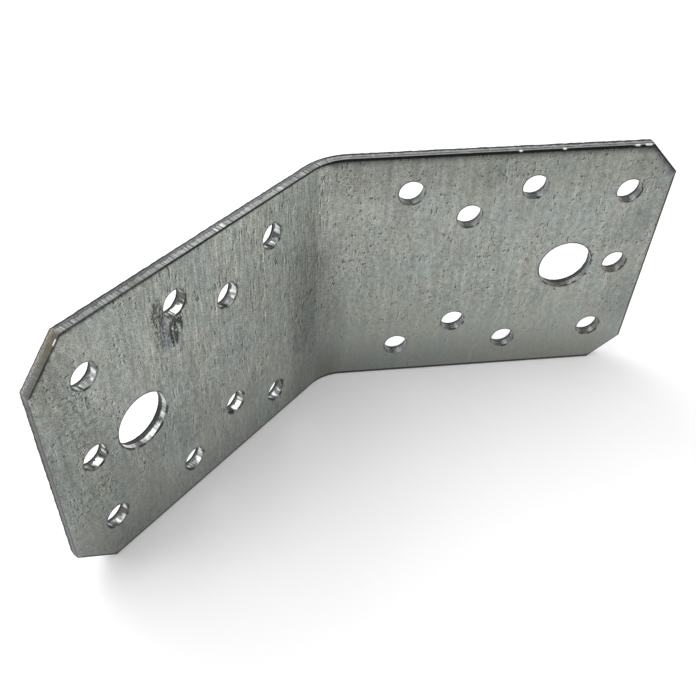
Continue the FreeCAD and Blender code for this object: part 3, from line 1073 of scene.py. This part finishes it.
zinc_rough = ease(plus(speckle, times(streak, 0.5)), 0.4, 1.1, *ZINC_ROUGH)
polished = times(in_hole, left_leg)
land_rough = ease(drag, 0.3, 0.7, *POLISHED_ROUGH)
land_rough = plus(land_rough, times(without(polished), UNPOLISHED_ROUGHER))
rough = mixed(torn, mixed(land, zinc_rough, land_rough), TORN_ROUGH)
raised = plus(speckle, times(streak, 0.3))
lowered = plus(times(pit, 0.8), times(dents, 0.25))
relief = times(minus(raised, lowered), calm, without(land))
relief = plus(relief, times(torn, grit, 3.0))
bump = tree.nodes.new("ShaderNodeBump")
bump.inputs["Strength"].default_value = RELIEF_STRENGTH
bump.inputs["Distance"].default_value = RELIEF_HEIGHT
feed(bump.inputs["Height"], relief)

shader = tree.nodes["Principled BSDF"]
feed(shader.inputs["Base Color"], colour)
feed(shader.inputs["Roughness"], rough)
feed(shader.inputs["Metallic"], without(times(either(rim_shade_line, white_spots_and_highlight), 0.85)))
feed(shader.inputs["Normal"], bump.outputs["Normal"])
bracket.data.materials.clear()
bracket.data.materials.append(steel)
print("finish has", len(tree.nodes), "nodes")

# %% [markdown]
# ## The floor
# Bare metal shows its surroundings more than its own colour, so the room matters as much as the material. The
# legs stand upright and are seen from above, so they mirror the floor in front of them. It is pale paper. It
# glows a little for the camera and for mirrored rays: softly near the bracket, where its shadow lies, and up
# to plain white far away, so that no horizon shows. The words for nodes now write into the paper's own tree.

# %% Floor
FLOOR_SIZE = 6
FLOOR_GAP = 0.02 * MM
FLOOR_WHITE = (0.93, 0.93, 0.93, 1)
FLOOR_GLOW = 0.2
SHADOW_REACH = (0.3, 0.8)
DULL_ROUGH = 0.9

bpy.ops.object.select_all(action="DESELECT")
bpy.ops.mesh.primitive_plane_add(size=FLOOR_SIZE, location=(0, 0, box_low.z - FLOOR_GAP))
floor = bpy.context.active_object
floor.name = "studio_floor"
paper = bpy.data.materials.new("pale_paper")
paper.use_nodes = True
tree = paper.node_tree
rays = tree.nodes.new("ShaderNodeLightPath")
seen = rays.outputs["Is Camera Ray"]
for name in ("Is Glossy Ray", "Is Transmission Ray"):
    seen = either(seen, rays.outputs[name])
spot = tree.nodes.new("ShaderNodeTexCoord")
far = tree.nodes.new("ShaderNodeVectorMath")
far.operation = "LENGTH"
feed(far.inputs[0], spot.outputs["Object"])
glow = times(seen, ease(far.outputs["Value"], *SHADOW_REACH, FLOOR_GLOW, 1.0))
paper_shader = tree.nodes["Principled BSDF"]
paper_shader.inputs["Base Color"].default_value = FLOOR_WHITE
paper_shader.inputs["Roughness"].default_value = DULL_ROUGH
paper_shader.inputs["Emission Color"].default_value = (1, 1, 1, 1)
feed(paper_shader.inputs["Emission Strength"], glow)
floor.data.materials.append(paper)
print("floor", floor.name, "glows by", FLOOR_GLOW, "near the bracket")

# %% [markdown]
# ## The lamps
# A large soft lamp overhead keeps the floor bright even inside the fold. A lamp on the left and one behind
# put the white glints into the punched holes and on the upper edge.

# %% Lamps
LAMP_DISTANCE = 1.2


def soft_lamp(name, direction, size, power):
    """A square soft lamp that looks at the bracket."""
    direction = Vector(direction).normalized()
    bpy.ops.object.light_add(type="AREA", location=direction * LAMP_DISTANCE)
    lamp = bpy.context.active_object
    lamp.name = name
    lamp.rotation_euler = direction.to_track_quat("Z", "Y").to_euler()
    lamp.data.size = size
    lamp.data.energy = power


soft_lamp("main_lamp", direction=(-0.35, 0.25, 0.90), size=1.3, power=9.8)
soft_lamp("left_lamp", direction=(-0.81, 0.15, 0.56), size=0.45, power=1.0)
soft_lamp("back_lamp", direction=(-0.1, 0.76, 0.65), size=0.7, power=3.0)

# %% [markdown]
# ## Walls and the dark card
# The room has white walls and a dimmer ceiling: the world is bright near the horizon and falls off upwards.
# In front, where the camera stands, the room is dark, which draws the dark line along every rolled rim. A
# dark card in that place does the same. Only glossy rays see it, so it takes no light from the floor.

# %% Walls and card
WALL_WHITE = 1.0
CEILING_GREY = 0.42
WALL_TOP = (0.1, 0.45)
CARD_PLACE = (0.0, -0.22, 0.25)
CARD_SIZE = (0.7, 0.5, 1)
CARD_BLACK = (0.01, 0.01, 0.01, 1)

world = bpy.data.worlds.new("white_room")
bpy.context.scene.world = world
world.use_nodes = True
tree = world.node_tree
background = tree.nodes["Background"]
background.inputs["Color"].default_value = (1, 1, 1, 1)
way = tree.nodes.new("ShaderNodeTexCoord")
way_split = tree.nodes.new("ShaderNodeSeparateXYZ")
feed(way_split.inputs[0], way.outputs["Generated"])
feed(background.inputs["Strength"], ease(way_split.outputs["Z"], *WALL_TOP, WALL_WHITE, CEILING_GREY))

bpy.ops.object.select_all(action="DESELECT")
bpy.ops.mesh.primitive_plane_add(size=1, location=CARD_PLACE, rotation=(math.pi / 2, 0, 0))
card = bpy.context.active_object
card.name = "dark_card"
card.scale = CARD_SIZE
felt = bpy.data.materials.new("black_felt")
felt.use_nodes = True
felt_shader = felt.node_tree.nodes["Principled BSDF"]
felt_shader.inputs["Base Color"].default_value = CARD_BLACK
felt_shader.inputs["Roughness"].default_value = DULL_ROUGH
card.data.materials.append(felt)
card.visible_camera = False
card.visible_diffuse = False
card.visible_transmission = False
card.visible_shadow = False
print("walls", WALL_WHITE, "ceiling", CEILING_GREY)

# %% [markdown]
# ## The camera
# The camera stands where the photograph was taken from: a little left of the middle, about 45 degrees up. The
# bracket sits off centre in the photograph, and a small lens shift keeps that framing without turning the
# camera, which would change the perspective.

# %% Camera
LENS = 43.419
SENSOR = 36.0
LENS_SHIFT = (0.0603448, 0.0402299)
NEAREST = 0.01
CAMERA_PLACE = (-0.06979, -0.1063842, 0.1340986)
CAMERA_TURN = (45.7844, -0.3788, -28.6446)

camera_data = bpy.data.cameras.new("photo_camera")
camera_data.lens = LENS
camera_data.sensor_width = SENSOR
camera_data.shift_x, camera_data.shift_y = LENS_SHIFT
camera_data.clip_start = NEAREST
camera = bpy.data.objects.new("photo_camera", camera_data)
bpy.context.collection.objects.link(camera)
camera.location = CAMERA_PLACE
camera.rotation_euler = [math.radians(angle) for angle in CAMERA_TURN]
bpy.context.scene.camera = camera
bpy.context.scene.view_settings.view_transform = "Standard"
print("camera at", [round(part, 3) for part in camera.location])
